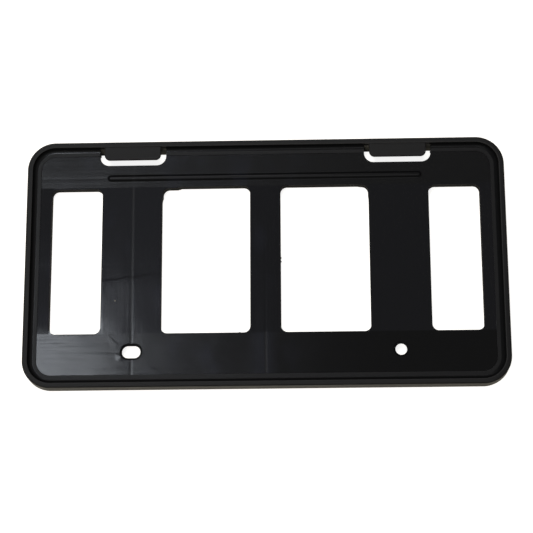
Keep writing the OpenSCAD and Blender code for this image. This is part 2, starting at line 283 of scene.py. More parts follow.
def run_tree(obj, tree, values):
    """Sets the tree's named inputs on a modifier and turns the result into the object's mesh."""
    modifier = obj.modifiers.new(tree.name, "NODES")
    modifier.node_group = tree
    sockets = {item.name: item.identifier for item in tree.interface.items_tree if item.in_out == "INPUT"}
    for label, value in values.items():
        modifier[sockets[label]] = value
    flatten(obj)


# The rim, swept by Geometry Nodes


def rim_section():
    """Closed section of the rim and ledge: distance inwards from the outer face, and height."""
    foot_in, foot_out = SKIRT_T - FOOT_REACH, -FOOT_REACH
    points = [(foot_out + SKIRT_EDGE_R, 0), (foot_in - SKIRT_EDGE_R, 0), (foot_in, SKIRT_EDGE_R)]
    points += [(SKIRT_T, PANEL_BACK), (LEDGE_IN, PANEL_BACK)]
    points += arc((LEDGE_IN - LEDGE_EDGE_R, LEDGE_Z - LEDGE_EDGE_R), LEDGE_EDGE_R, 0, 90, LEDGE_STEPS)
    points += arc((RIM_W + FOOT_R, LEDGE_Z + FOOT_R), FOOT_R, 270, 180, FOOT_STEPS)
    points += arc((RIM_W - RIM_INNER_R, DEPTH - RIM_INNER_R), RIM_INNER_R, 0, 90, INNER_STEPS)
    points += arc((RIM_OUTER_R, DEPTH - RIM_OUTER_R), RIM_OUTER_R, 90, 180, OUTER_STEPS)
    points += [(foot_out, SKIRT_EDGE_R)]
    return points


def section_curve(points):
    """The section as a closed curve, for the sweep to follow the path with."""
    curve = bpy.data.curves.new("rim_section", "CURVE")
    curve.dimensions = "3D"
    spline = curve.splines.new("POLY")
    spline.points.add(len(points) - 1)
    for point, (inward, height) in zip(spline.points, points):
        point.co = (-inward, -height, 0, 1)
    spline.use_cyclic_u = True
    made = bpy.data.objects.new("rim_section", curve)
    bpy.context.collection.objects.link(made)
    return made


def sweep_tree(material):
    """Sweeps a section along a rectangle with round corners."""
    inputs = {
        "Section": "NodeSocketObject",
        "Width": "NodeSocketFloat",
        "Height": "NodeSocketFloat",
        "Corner Radius": "NodeSocketFloat",
        "Corner Segments": "NodeSocketInt",
    }
    tree, given, result = new_geometry_tree("rim_sweep", inputs)
    link = tree.links.new
    path = add_node(tree, "GeometryNodeCurvePrimitiveQuadrilateral")
    fillet = add_node(tree, "GeometryNodeFilletCurve", mode="POLY")
    section = add_node(tree, "GeometryNodeObjectInfo")
    normal = add_node(tree, "GeometryNodeSetCurveNormal", mode="Z_UP")
    sweep = add_node(tree, "GeometryNodeCurveToMesh")
    link(given.outputs["Width"], path.inputs["Width"])
    link(given.outputs["Height"], path.inputs["Height"])
    link(path.outputs[0], fillet.inputs["Curve"])
    link(given.outputs["Corner Radius"], fillet.inputs["Radius"])
    link(given.outputs["Corner Segments"], fillet.inputs["Count"])
    link(fillet.outputs[0], normal.inputs[0])
    link(normal.outputs[0], sweep.inputs["Curve"])
    link(given.outputs["Section"], section.inputs["Object"])
    link(section.outputs["Geometry"], sweep.inputs["Profile Curve"])
    end_geometry_tree(tree, sweep.outputs[0], material, result)
    return tree


def make_rim(material):
    section = section_curve(rim_section())
    rim = make_object("rim", bmesh.new())
    values = {
        "Section": section,
        "Width": 2.0 * HALF_X,
        "Height": 2.0 * HALF_Y,
        "Corner Radius": CORNER_R,
        "Corner Segments": CORNER_STEPS,
    }
    run_tree(rim, sweep_tree(material), values)
    bpy.data.objects.remove(section)
    return rim


# The ribs on the back, repeated by Geometry Nodes


def rib_tree(material):
    """A row of equal bars."""
    inputs = {
        "Bar Size": "NodeSocketVector",
        "Count": "NodeSocketInt",
        "First": "NodeSocketVector",
        "Step": "NodeSocketVector",
    }
    tree, given, result = new_geometry_tree("rib_row", inputs)
    link = tree.links.new
    row = add_node(tree, "GeometryNodeMeshLine")
    bar = add_node(tree, "GeometryNodeMeshCube")
    place = add_node(tree, "GeometryNodeInstanceOnPoints")
    link(given.outputs["Count"], row.inputs["Count"])
    link(given.outputs["First"], row.inputs["Start Location"])
    link(given.outputs["Step"], row.inputs["Offset"])
    link(given.outputs["Bar Size"], bar.inputs["Size"])
    link(row.outputs[0], place.inputs["Points"])
    link(bar.outputs[0], place.inputs["Instance"])
    end_geometry_tree(tree, place.outputs[0], material, result)
    return tree


def make_ribs(material):
    """Three upright and three level ribs, as rows of equal ones."""
    tree = rib_tree(material)
    height = PANEL_BACK - RIB_CLEAR + OVER
    middle = RIB_CLEAR + height / 2
    reach = SKIRT_T - OVER
    along_x = (2 * (HALF_X - reach), RIB_T, height)
    along_y = (RIB_T, 2 * (HALF_Y - reach), height)
    rows = (
        (along_y, 3, (-HOLE_X, 0, middle), (HOLE_X, 0, 0)),
        (along_x, 2, (0, HOLE_Y, middle), (0, TOP_RIB_Y - HOLE_Y, 0)),
        (along_x, 1, (0, MID_RIB_Y, middle), (0, 0, 0)),
    )
    made = []
    for size, count, first, step in rows:
        ribs = make_object("ribs", bmesh.new())
        run_tree(ribs, tree, {"Bar Size": size, "Count": count, "First": first, "Step": step})
        made.append(ribs)
    return made


# The panel

# Sink lines over the ribs: depth and half width
SINK_DEPTH, SINK_HALF = 0.035, 0.85

# Shares of that depth: over the left and the middle upright rib, in the lower band and above it, and over
# the right one
LOW_SHARES, HIGH_SHARES, RIGHT_SHARE = (1.3, 1), (0.6, 0.3), 0.6

# Shares of that depth: over the lower level rib, left of the slot and elsewhere, and over the middle one, in
# the outer strips and elsewhere
LEFT_SHARE, LOWER_SHARE = 0.7, 0.4
STRIP_SHARE, MID_SHARE = 0.5, 0.2

# How far apart the panel's grid is near the sink lines and elsewhere, and how far near reaches
FINE_PITCH, COARSE_PITCH, FINE_REACH = 0.35, 2.6, 4.2

# Grid places closer than this are the same
SAME = 1e-6


def spread(limit, lines):
    """Grid places from -limit to limit, close together near the given lines."""
    places = [-limit]
    while places[-1] < limit:
        here = places[-1]
        gap = min(abs(here - line) for line in lines)
        pitch = FINE_PITCH if gap < FINE_REACH else COARSE_PITCH
        ahead = [line - FINE_REACH for line in lines if line - FINE_REACH > here + SAME]
        if gap >= FINE_REACH and ahead:
            pitch = min(pitch, max(min(ahead) - here, FINE_PITCH))
        places.append(here + pitch)
    places[-1] = limit
    return places


def groove(distance):
    """Shape of a sink line across its width."""
    return -SINK_DEPTH * exp(-((distance / SINK_HALF) ** 2))


def panel_height(x, y):
    """Height of the panel's front above its nominal plane."""
    left, middle = LOW_SHARES if y < WINDOW_LOW else HIGH_SHARES
    low = LEFT_SHARE if x < -HOLE_X else LOWER_SHARE
    mid = STRIP_SHARE if abs(x) > NARROW_X else MID_SHARE
    lines = (
        left * groove(x + HOLE_X),
        middle * groove(x),
        RIGHT_SHARE * groove(x - HOLE_X),
        low * groove(y - HOLE_Y),
        mid * groove(y - MID_RIB_Y),
        groove(y - TOP_RIB_Y),
    )
    return min(lines)


def make_panel():
    half_x, half_y = HALF_X - LEDGE_IN + OVER, HALF_Y - LEDGE_IN + OVER
    xs = spread(half_x, (-HOLE_X, 0, HOLE_X))
    ys = spread(half_y, (HOLE_Y, MID_RIB_Y, TOP_RIB_Y))
    bm = bmesh.new()
    top = [[bm.verts.new((x, y, PANEL_Z + panel_height(x, y))) for x in xs] for y in ys]
    for lower, upper in zip(top, top[1:]):
        for i in range(len(xs) - 1):
            bm.faces.new((lower[i], lower[i + 1], upper[i + 1], upper[i]))
    edge = top[0] + [row[-1] for row in top[1:]] + top[-1][-2::-1] + [row[0] for row in top[-2:0:-1]]
    foot = [bm.verts.new((v.co.x, v.co.y, PANEL_BACK)) for v in edge]
    for i in range(len(edge)):
        j = (i + 1) % len(edge)
        bm.faces.new((foot[i], foot[j], edge[j], edge[i]))
    bm.faces.new(foot[::-1])
    return make_object("panel", bm)


# What is cut out of the panel


def padded_outline(side):
    """Outline of a wide window with its thickened upper outer corner. Side is 1 for the right one."""
    pad_side, pad_top, pad_h, pad_w = PADS[side]
    left, right = WIDE_X - WIDE_HALF, WIDE_X + WIDE_HALF
    low, top, r = WINDOW_LOW, WIDE_HIGH, WINDOW_R
    points = arc((right - r, low + r), r, 270, 360, OUTLINE_STEPS)
    points += [(right, top - pad_h), (right - pad_side, top - pad_h + PAD_RAMP)]
    points += arc((right - pad_side - r, top - pad_top - r), r, 0, 90, OUTLINE_STEPS)
    points += [(right - pad_w + PAD_RAMP, top - pad_top), (right - pad_w, top)]
    points += arc((left + r, top - r), r, 90, 180, OUTLINE_STEPS)
    points += arc((left + r, low + r), r, 180, 270, OUTLINE_STEPS)
    if side < 0:
        points = [(-x, y) for x, y in reversed(points)]
    return points


def plain_outline(side, half_x, distance, high):
    """Outline of a window without thickened corners."""
    middle, half_y = (high + WINDOW_LOW) / 2, (high - WINDOW_LOW) / 2
    return round_rect(half_x, half_y, WINDOW_R, (side * distance, middle))


def cutter_levels():
    """Levels of a cutter that passes the back plane and rounds the edge at the panel's front."""
    return [(-OVER, 0)] + rounded_levels(PANEL_Z, EDGE_R, 1)


def window_cutters(bm):
    levels = cutter_levels() + [(PANEL_Z + OVER, EDGE_R + OVER)]
    for side in (-1, 1):
        stack(bm, padded_outline(side), levels)
        stack(bm, plain_outline(side, NARROW_HALF, NARROW_X, NARROW_HIGH), levels)


def stack_at_holes(bm, grow, levels):
    """Skins round the slot and the round hole, both grown by the same amount."""
    radius = SLOT_HALF_H + grow - SLOT_STRAIGHT
    stack(bm, round_rect(SLOT_HALF_W + grow, SLOT_HALF_H + grow, radius, (-HOLE_X, HOLE_Y)), levels)
    stack(bm, circle((HOLE_X, HOLE_Y), HOLE_R + grow), levels)


def hole_cutters(bm):
    levels = [(-OVER, COUNTERBORE), (PANEL_BACK, COUNTERBORE), (PANEL_BACK, 0)]
    levels += [(PANEL_Z - DISH_D, 0), (PANEL_Z - DISH_LIP_D, DISH_W - DISH_LIP_W)]
    levels += [(PANEL_Z, DISH_W), (PANEL_Z + OVER, DISH_W + OVER)]
    stack_at_holes(bm, 0, levels)


def opening_cutters(bm):
    """The openings behind the tabs, whose upper wall slopes with the rim's thickened wall."""
    top = DEPTH - RIM_INNER_R
    low = ROOT_Y - TAB_REACH - OPENING_SLIT
    levels = cutter_levels() + [(top, EDGE_R)]
    for side in (-1, 1):
        left, right = side * TAB_X - OPENING_HALF, side * TAB_X + OPENING_HALF
        for ring in stack(bm, tongue(left, right, low, ROOT_Y, OPENING_R), levels):
            for corner in ring[-2:]:
                corner.co.y = ROOT_Y - WALL_FLARE * (top - corner.co.z) / top


# What is added to the panel


def make_bosses():
    bm = bmesh.new()
    stack_at_holes(bm, COUNTERBORE + BOSS_WALL, [(0, 0), (PANEL_BACK + OVER, 0)])
    return make_object("bosses", bm)


def make_flanges():
    """Walls round the windows on the back."""
    bm = bmesh.new()
    levels = [(RIB_CLEAR, RIB_T), (PANEL_BACK + OVER, RIB_T)]
    for side in (-1, 1):
        stack(bm, plain_outline(side, WIDE_HALF, WIDE_X, WIDE_HIGH), levels)
        stack(bm, plain_outline(side, NARROW_HALF, NARROW_X, NARROW_HIGH), levels)
    return make_object("flanges", bm)


def make_tab_walls():
    """Blocks behind the tabs that the openings' sloping walls are cut from."""
    bm = bmesh.new()
    half = OPENING_HALF + CHEEK_T
    for side in (-1, 1):
        low = (side * TAB_X - half, ROOT_Y - WALL_FLARE - CHEEK_T, 0)
        high = (side * TAB_X + half, HALF_Y - SKIRT_T + OVER / 2, PANEL_BACK + OVER)
        block(bm, low, high)
    return make_object("tab_walls", bm)


def make_bead():
    """Half-round crest with a hollow fillet round its foot, both tangent where they meet."""
    centres, lift = BEAD_R + BEAD_FOOT_R, BEAD_FOOT_R - BEAD_H + BEAD_R
    turn = acos(lift / centres)
    foot = sqrt(centres**2 - lift**2)
    levels = [(PANEL_Z - OVER, 0)]
    for i in range(EDGE_STEPS + 1):
        angle = turn * i / EDGE_STEPS
        levels.append((PANEL_Z + BEAD_FOOT_R * (1 - cos(angle)), -BEAD_FOOT_R * sin(angle)))
    for i in range(1, 2 * EDGE_STEPS):
        angle = turn * (1 - i / (2 * EDGE_STEPS))
        levels.append((PANEL_Z + BEAD_H - BEAD_R + BEAD_R * cos(angle), BEAD_R * sin(angle) - foot))
    bm = bmesh.new()
    stack(bm, round_rect(BEAD_HALF, foot, foot - BEAD_STRAIGHT, (BEAD_SHIFT, BEAD_Y)), levels)
    return make_object("bead", bm)


def make_tabs():
    top, low = DEPTH - TAB_DROP, ROOT_Y - TAB_REACH
    levels = [(top - TAB_T, -EDGE_R), (top - TAB_T + EDGE_R, 0)] + rounded_levels(top, TAB_EDGE_R, -1)
    bm = bmesh.new()
    for side in (-1, 1):
        left, right = side * TAB_X - TAB_HALF, side * TAB_X + TAB_HALF
        stack(bm, tongue(left, right, low, ROOT_Y + 2 * OVER, TAB_R), levels)
    return make_object("tabs", bm)


def make_stubs():
    """Short stubs half sunk in the windows' walls, with their ends rounded."""
    bm = bmesh.new()
    low = PANEL_BACK + (PANEL_Z - PANEL_BACK) * STUB_START
    levels = [(low, -STUB_R / 2), (low + STUB_R / 2, 0)]
    levels += rounded_levels(low + STUB_H, STUB_R / 2, -1, STUB_STEPS)
    for place in STUBS:
        stack(bm, circle(place, STUB_R, OUTLINE_STEPS), levels)
    return make_object("stubs", bm)


# One moulding


def combine(base, part, operation):
    """Joins a part to the base or cuts it out of the base, and removes the part."""
    modifier = base.modifiers.new(part.name, "BOOLEAN")
    modifier.operation = operation
    modifier.solver = "MANIFOLD"
    modifier.object = part
    flatten(base)
    bpy.data.objects.remove(part)


def make_holder(material):
    holder = make_rim(material)
    parts = [make_panel(), make_bead(), make_bosses(), make_flanges(), make_tab_walls()]
    for part in parts + make_ribs(material):
        combine(holder, part, "UNION")
    bm = bmesh.new()
    window_cutters(bm)
    hole_cutters(bm)
    opening_cutters(bm)
    combine(holder, make_object("cutters", bm), "DIFFERENCE")
    combine(holder, make_tabs(), "UNION")
    combine(holder, make_stubs(), "UNION")
    holder.name = holder.data.name = "holder"
    holder.data.transform(Matrix.Scale(MM, 4))
    holder.data.materials.clear()
    holder.data.materials.append(material)
    holder.data.shade_smooth()
    holder.data.set_sharp_from_angle(angle=radians(SHARP_ANGLE))
    normals = holder.modifiers.new("flat_faces_lead", "WEIGHTED_NORMAL")
    normals.keep_sharp = True
    flatten(holder)
    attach(holder, "root")
    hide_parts("plate_holder")


# Sums and masks of a shader tree. A mask is 1 where something lies and 0 elsewhere.


def feed(tree, socket, value):
    """Links a socket to another, or sets its value."""
    if isinstance(value, bpy.types.NodeSocket):
        tree.links.new(value, socket)
    else:
        socket.default_value = value


def calc(tree, operation, *values):
    node = add_node(tree, "ShaderNodeMath", operation=operation)
    for socket, value in zip(node.inputs, values):
        feed(tree, socket, value)
    return node.outputs[0]


def chain(tree, operation, values):
    """The operation between the first two values, then between that and the next, and so on."""
    result = values[0]
    for value in values[1:]:
        result = calc(tree, operation, result, value)
    return result


def product(tree, *values):
    return chain(tree, "MULTIPLY", values)


def total(tree, *values):
    return chain(tree, "ADD", values)


def largest(tree, *values):
    return chain(tree, "MAXIMUM", values)


def minus(tree, first, second):
    return calc(tree, "SUBTRACT", first, second)


def absolute(tree, value):
    return calc(tree, "ABSOLUTE", value)


def outside(tree, mask):
    return minus(tree, 1, mask)


def vector(tree, operation, *values):
    node = add_node(tree, "ShaderNodeVectorMath", operation=operation)
    for socket, value in zip(node.inputs, values):
        feed(tree, socket, value)
    return node.outputs["Value"] if operation == "LENGTH" else node.outputs["Vector"]


def rise(tree, value, start, end):
    """Goes smoothly from 0 at start to 1 at end."""
    node = add_node(tree, "ShaderNodeMapRange", {"From Min": start, "From Max": end})
    node.interpolation_type = "SMOOTHSTEP"
    feed(tree, node.inputs["Value"], value)
    return node.outputs[0]


def hump(tree, value, centre, half):
    """1 at the centre, falling smoothly to 0 at half away from it."""
    return rise(tree, absolute(tree, minus(tree, value, centre)), half, 0)


def blend(tree, share, first, second):
    node = add_node(tree, "ShaderNodeMix")
    feed(tree, node.inputs[0], share)
    feed(tree, node.inputs[2], first)
    feed(tree, node.inputs[3], second)
    return node.outputs[0]


def blend_colour(tree, share, first, second):
    node = add_node(tree, "ShaderNodeMix", data_type="RGBA")
    feed(tree, node.inputs[0], share)
    feed(tree, node.inputs[6], first)
    feed(tree, node.inputs[7], second)
    return node.outputs[2]


def cloud(tree, place, cells, detail=2):
    """Noise about 0 whose cells have the given size, in millimetres along X, Y and Z."""
    scaled = vector(tree, "MULTIPLY", place, [1 / size for size in cells])
    node = add_node(tree, "ShaderNodeTexNoise", {"Scale": 1, "Detail": detail})
    tree.links.new(scaled, node.inputs["Vector"])
    return minus(tree, node.outputs[0], 0.5)


def fold(tree, across, steep, gentle):
    """1 beside the line where across is 0, falling steeply at its positive side and gently at the other."""
    return product(tree, rise(tree, across, steep, -steep), rise(tree, across, -gentle, -steep))


# Where each finish of the plastic lies, and where highlight, sheen, shade and bounce light are painted. Each
# pair says where a mask is 0, and where it has risen to 1.

# By height
FRONT_Z, CREST_Z = PANEL_Z - 0.12, PANEL_Z + BEAD_H
OVER_FRONT = (FRONT_Z - 0.05, FRONT_Z)
UNDER_FRONT = (FRONT_Z, FRONT_Z - 0.05)
UNDER_CREST = (CREST_Z + 0.2, CREST_Z + 0.1)
ON_BEAD = (PANEL_Z + 0.02, PANEL_Z + 0.06)
ON_CREST = (CREST_Z - 0.14, CREST_Z - 0.03)
NEAR_LEDGE = (LEDGE_Z + 0.3, LEDGE_Z + 0.1)
WALL_TOP = (DEPTH - 0.75, DEPTH - 0.85)
RIGHT_FOOT_TOP = (DEPTH - 0.8, DEPTH - 1.2)
RIGHT_RIM_TOP = (DEPTH - 0.8, DEPTH - 0.4)
WORN_TOP = (DEPTH - 0.7, DEPTH - 0.3)
OUTER_TOP = (DEPTH - 0.02, DEPTH - 0.2)
UNDER_TAB = (8.5, 6.5)

# By distance inwards from the rim's outer face
ON_OUTER = (RIM_OUTER_R, RIM_OUTER_R / 2)
ON_WALL = (RIM_W - 0.1, RIM_W)
BEHIND_TAB = (RIM_W - 0.2, RIM_W)
ON_LEDGE = (RIM_W + 2, RIM_W + 2.6)
BEFORE_WALL_END = (RIM_W + FOOT_R + 0.05, RIM_W + FOOT_R - 0.25)
BEFORE_RIGHT_END = (6.9, 6.3)
IN_OPENINGS = (LEDGE_IN - 1, LEDGE_IN)
ON_PANEL = (LEDGE_IN - 0.1, LEDGE_IN + 0.1)
WORN_IN, WORN_HALF = RIM_W - 0.2, 0.6

# By place along X, for the sides of the tabs' openings counted from a tab's middle
RIGHT_SIDE = (HALF_X - CORNER_R, HALF_X - 6.5)
OPENING_SIDES = (OPENING_HALF + 0.05, OPENING_HALF - 0.05)
STRIPS = (NARROW_X + NARROW_HALF - 0.6, NARROW_X + NARROW_HALF)
LEFT_SINK_HALF, MIDDLE_SINK_HALF = 1.3, 1.6
CREST_FADE, CLOUDY_FADE, LOWER_DIM = (160, 0), (50, -30), (-20, 70)

# By place along Y
LOWER_SIDE = (10 - HALF_Y, 6 - HALF_Y)
LOWER_BAND = (WINDOW_LOW + 0.5, WINDOW_LOW - 0.5)
STRIP_FOOT = (WINDOW_LOW + 9, WINDOW_LOW)
UPPER_BAND = (WIDE_HIGH - 0.5, WIDE_HIGH + 0.5)
OPENING_WALL = (ROOT_Y - WALL_FLARE - 0.5, ROOT_Y - WALL_FLARE)

# How much nearer to the rim its dark inner wall ends along the lower side
LOWER_WALL_SHIFT = 0.7

# How much painted shade darkens the rim's crest at the right
RIGHT_RIM_SHARE = 0.5

# Painted sheen in cloudy areas: cells of their noise, where the noise begins to show and shows in full, and
# their share
CLOUDY_CELLS, CLOUDY_LIMITS, CLOUDY_SHARE = (15, 24, 30), (-0.02, 0.2), 0.8

# Areas of painted sheen, as middle and half size: in the lower band along X, on the middle web along X and Y
LOWER_GLOW, WEB_GLOW_X, WEB_GLOW_Y = (-2, 13), (-4, 10), (16, 20)

# Share of the painted sheen colour that the webs have everywhere
WEB_TINT = 0.35

# A speck of dust: its place, and where it ends and begins to thin out
DUST, DUST_LIMITS = (-100.1, -25.3, PANEL_Z), (0.7, 0.35)

# Roughness of the polished panel and its lower and upper band, of the rim's inner and outer wall, of the
# ledge, of the grained faces and of the deep walls of the openings
WEB_ROUGH, LOWER_ROUGH, UPPER_ROUGH = 0.13, 0.2, 0.26
WALL_ROUGH, OUTER_ROUGH, LEDGE_ROUGH, GRAIN_ROUGH, DEEP_ROUGH = 0.18, 0.28, 0.45, 0.55, 0.8

# Base colours of the panel: plain, the painted highlight along its sink lines, the painted sheen of its
# cloudy areas and the painted highlight along the bead's crest
PANEL_COLOUR = (0.0042, 0.0042, 0.0045, 1)
SINK_COLOUR = (0.0095, 0.0095, 0.0105, 1)
CLOUDY_COLOUR = (0.0075, 0.008, 0.0115, 1)
CREST_COLOUR = (0.016, 0.016, 0.017, 1)

# Base colours of the rest: inner wall, also used as painted shade on the rim's crest at the right; painted
# shade;
# ledge; grained faces; outer wall; painted highlight along the rim's inner edge; painted bounce light on the
# wall beside the tabs; and dust
WALL_COLOUR = (0.004, 0.004, 0.0042, 1)
DARK_COLOUR = (0.0015, 0.0015, 0.0016, 1)
LEDGE_COLOUR = (0.0095, 0.0093, 0.0095, 1)
GRAIN_COLOUR = (0.0128, 0.0125, 0.0125, 1)
OUTER_COLOUR = (0.0045, 0.0045, 0.0045, 1)
WORN_COLOUR = (0.03, 0.03, 0.03, 1)
BESIDE_COLOUR = (0.04, 0.039, 0.032, 1)
DUST_COLOUR = (0.11, 0.1, 0.075, 1)


def rim_distance(tree, place):
    """Distance inwards from the rim's outer face, following its round corners."""
    folded = vector(tree, "ABSOLUTE", place)
    past = vector(tree, "SUBTRACT", folded, (HALF_X - CORNER_R, HALF_Y - CORNER_R, 0))
    past = vector(tree, "MULTIPLY", vector(tree, "MAXIMUM", past, (0, 0, 0)), (1, 1, 0))
    return minus(tree, CORNER_R, vector(tree, "LENGTH", past))


def find_finishes(tree, place, x, y, z):
    """The coordinates in millimetres, and a mask for each finish and for each painted highlight, shade and
    bounce light.
    """
    at = SimpleNamespace(place=place, x=x, y=y, z=z)
    inward = rim_distance(tree, place)
    over_front = rise(tree, z, *OVER_FRONT)
    on_wall = rise(tree, inward, *ON_WALL)
    at.smooth = product(tree, rise(tree, inward, *ON_PANEL), over_front, rise(tree, z, *UNDER_CREST))
    at.lower = rise(tree, y, *LOWER_BAND)
    at.upper = rise(tree, y, *UPPER_BAND)
    at.band = total(tree, at.lower, at.upper)
    at.flat_upper = product(tree, at.upper, outside(tree, rise(tree, z, *ON_BEAD)))
    crest = rise(tree, z, *ON_CREST)
    # Painted highlight along the bead's crest, fading out towards the right.
    at.crest = product(tree, crest, at.smooth, rise(tree, x, *CREST_FADE))
    middle_sink = product(tree, hump(tree, x, 0, MIDDLE_SINK_HALF), at.lower)
    at.sink = largest(tree, hump(tree, x, -HOLE_X, LEFT_SINK_HALF), middle_sink)

    at.ledge = product(tree, rise(tree, inward, *ON_LEDGE), rise(tree, z, *NEAR_LEDGE))
    at.outer = product(tree, rise(tree, inward, *ON_OUTER), rise(tree, z, *OUTER_TOP))
    # Painted highlight: a lighter line along the rim's rounded inner edge, all round.
    at.worn = product(tree, rise(tree, z, *WORN_TOP), hump(tree, inward, WORN_IN, WORN_HALF))
    end = total(tree, inward, product(tree, rise(tree, y, *LOWER_SIDE), LOWER_WALL_SHIFT))
    above = product(tree, rise(tree, end, *BEFORE_WALL_END), rise(tree, z, *WALL_TOP), over_front)
    at.deep = product(tree, rise(tree, z, *UNDER_FRONT), rise(tree, inward, *IN_OPENINGS))
    at.wall = product(tree, on_wall, largest(tree, above, at.deep))

    right = rise(tree, x, *RIGHT_SIDE)
    before_end = rise(tree, inward, *BEFORE_RIGHT_END)
    # Painted shade on the hollow foot along the right side, which also gets the rough finish there.
    at.right_foot = product(tree, right, before_end, rise(tree, z, *RIGHT_FOOT_TOP), on_wall)
    # Painted shade: the rim's crest darkens towards the right, half way to the inner wall's colour.
    at.right_rim = product(tree, right, RIGHT_RIM_SHARE, rise(tree, z, *RIGHT_RIM_TOP))

    # Painted bounce light: a beige glow on the wall beside each tab, under the rim, as if lit from the
    # floor.
    from_tab = absolute(tree, minus(tree, absolute(tree, x), TAB_X))
    in_opening = rise(tree, from_tab, *OPENING_SIDES)
    by_wall = product(tree, rise(tree, y, *OPENING_WALL), rise(tree, inward, *BEHIND_TAB))
    at.beside = product(tree, in_opening, by_wall, rise(tree, z, *UNDER_TAB))
    return at


def plastic_roughness(tree, at):
    roughness = blend(tree, at.lower, WEB_ROUGH, LOWER_ROUGH)
    roughness = blend(tree, at.flat_upper, roughness, UPPER_ROUGH)
    roughness = blend(tree, at.sink, roughness, UPPER_ROUGH)
    roughness = blend(tree, at.smooth, blend(tree, at.ledge, GRAIN_ROUGH, LEDGE_ROUGH), roughness)
    roughness = blend(tree, at.outer, roughness, OUTER_ROUGH)
    roughness = blend(tree, at.wall, roughness, WALL_ROUGH)
    return blend(tree, largest(tree, at.deep, at.right_foot), roughness, DEEP_ROUGH)


def cloudy_areas(tree, at):
    """Mask of the panel's painted sheen, in cloudy and pale areas."""
    spots = rise(tree, cloud(tree, at.place, CLOUDY_CELLS), *CLOUDY_LIMITS)
    cloudy = product(tree, spots, rise(tree, at.x, *CLOUDY_FADE), CLOUDY_SHARE)
    lower_glow = product(tree, hump(tree, at.x, *LOWER_GLOW), at.lower)
    web_glow = product(tree, hump(tree, at.x, *WEB_GLOW_X), hump(tree, at.y, *WEB_GLOW_Y))
    return largest(tree, cloudy, lower_glow, web_glow, blend(tree, at.band, WEB_TINT, 0))


def plastic_colour(tree, at):
    # Painted shade: the lower band darkens towards the right.
    dim = product(tree, at.lower, rise(tree, at.x, *LOWER_DIM))
    polished = blend_colour(tree, dim, PANEL_COLOUR, DARK_COLOUR)
    # Painted sheen: a lighter bluish colour in cloudy patches on the left, in pale areas and over the webs.
    polished = blend_colour(tree, cloudy_areas(tree, at), polished, CLOUDY_COLOUR)
    # Painted highlight along the sink lines over the left rib, and over the middle rib in the lower band.
    polished = blend_colour(tree, at.sink, polished, SINK_COLOUR)
    from_dust = vector(tree, "LENGTH", vector(tree, "SUBTRACT", at.place, DUST))
    layers = (
        (at.ledge, LEDGE_COLOUR),
        (at.smooth, polished),
        (at.wall, WALL_COLOUR),
        (at.right_foot, DARK_COLOUR),
        (at.right_rim, WALL_COLOUR),
        (at.beside, BESIDE_COLOUR),
        (at.crest, CREST_COLOUR),
        (at.outer, OUTER_COLOUR),
        (at.worn, WORN_COLOUR),
        (rise(tree, from_dust, *DUST_LIMITS), DUST_COLOUR),
    )
    colour = GRAIN_COLOUR
    for mask, tint in layers:
        colour = blend_colour(tree, mask, colour, tint)
    return colour


# Relief of the plastic, in millimetres. Cells are the size of a noise's cells along X, Y and Z.

# Polishing marks
MARK_PITCH, MARK_LENGTH, MARK_DEPTH, MARK_H = 0.12, 30, 5, 0.0055

# Streaks up the webs and along the bands, and their height on the webs and on the upper and lower band
WEB_STREAK_CELLS, BAND_STREAK_CELLS = (1.6, 90, 5), (60, 2.4, 5)
WEB_STREAK_H, UPPER_STREAK_H, LOWER_STREAK_H = 0.014, 0.04, 0.07

# Blotches on the lower band, the uneven skin of the whole panel, and the grain of the other faces
BLOTCH_CELLS, BLOTCH_H = (16, 5, 9), 0.06
WARP_CELLS, WARP_H = (26, 34, 30), 0.3
GRAIN_CELLS, GRAIN_H = (0.35, 0.35, 0.35), 0.02

# The weld line across the left web: place and slope, how far it wanders, its steep and gentle side, its
# reach from the web's middle and its height
WELD_Y, WELD_SLOPE = 5.3, 0.165
WANDER_CELLS, WANDER = (16, 16, 16), 7
WELD_SIDES, WELD_REACH, WELD_H = (0.8, 24), 30, 0.12

# Creases beside the slot: their ends, their steep and gentle side, their reach from the middle as a share
# of their length, and their height
CREASES = (((-104.4, -48), (-96, -56.5)), ((-79.5, -68), (-66.6, -74.8)))
CREASE_SIDES, CREASE_REACH, CREASE_H = (0.6, 5), 0.6, 0.03

# The dimple at the slot's lower left: its middle, its steepness along X and Y, and its height
DIMPLE_AT, DIMPLE_SCALE, DIMPLE_H = (-HOLE_X - 6.8, HOLE_Y - 3.6, PANEL_Z), (0.24, 0.29, 0), 0.15

# How far the front leans towards +Y on the strips beside the narrow windows and on the upper band
STRIP_LEAN, UPPER_LEAN = 0.05, -0.035

# Where the strips lean less: over the middle rib, as middle and half size, and at their foot; and how much
LESS_AT_RIB, LESS_RIB_SHARE, LESS_FOOT_SHARE = (MID_RIB_Y, 7), 0.5, 0.35


def crease(tree, at, start, end):
    """Height of a fold from start to end, steep at its right or upper side and highest half-way."""
    run = Vector(end) - Vector(start)
    step = run.normalized()
    middle = (Vector(end) + Vector(start)) / 2
    right, up = minus(tree, at.x, middle.x), minus(tree, at.y, middle.y)
    along = total(tree, product(tree, right, step.x), product(tree, up, step.y))
    across = total(tree, product(tree, right, -step.y), product(tree, up, step.x))
    near = hump(tree, along, 0, run.length * CREASE_REACH)
    return product(tree, near, fold(tree, across, *CREASE_SIDES), CREASE_H)


def weld_line(tree, at):
    """Height of the fold where two flows of plastic met."""
    wander = product(tree, cloud(tree, at.place, WANDER_CELLS, detail=1), WANDER)
    line = total(tree, product(tree, at.x, WELD_SLOPE), wander, WELD_Y)
    lip = fold(tree, minus(tree, at.y, line), *WELD_SIDES)
    return product(tree, lip, hump(tree, at.x, -HOLE_X, WELD_REACH), WELD_H)


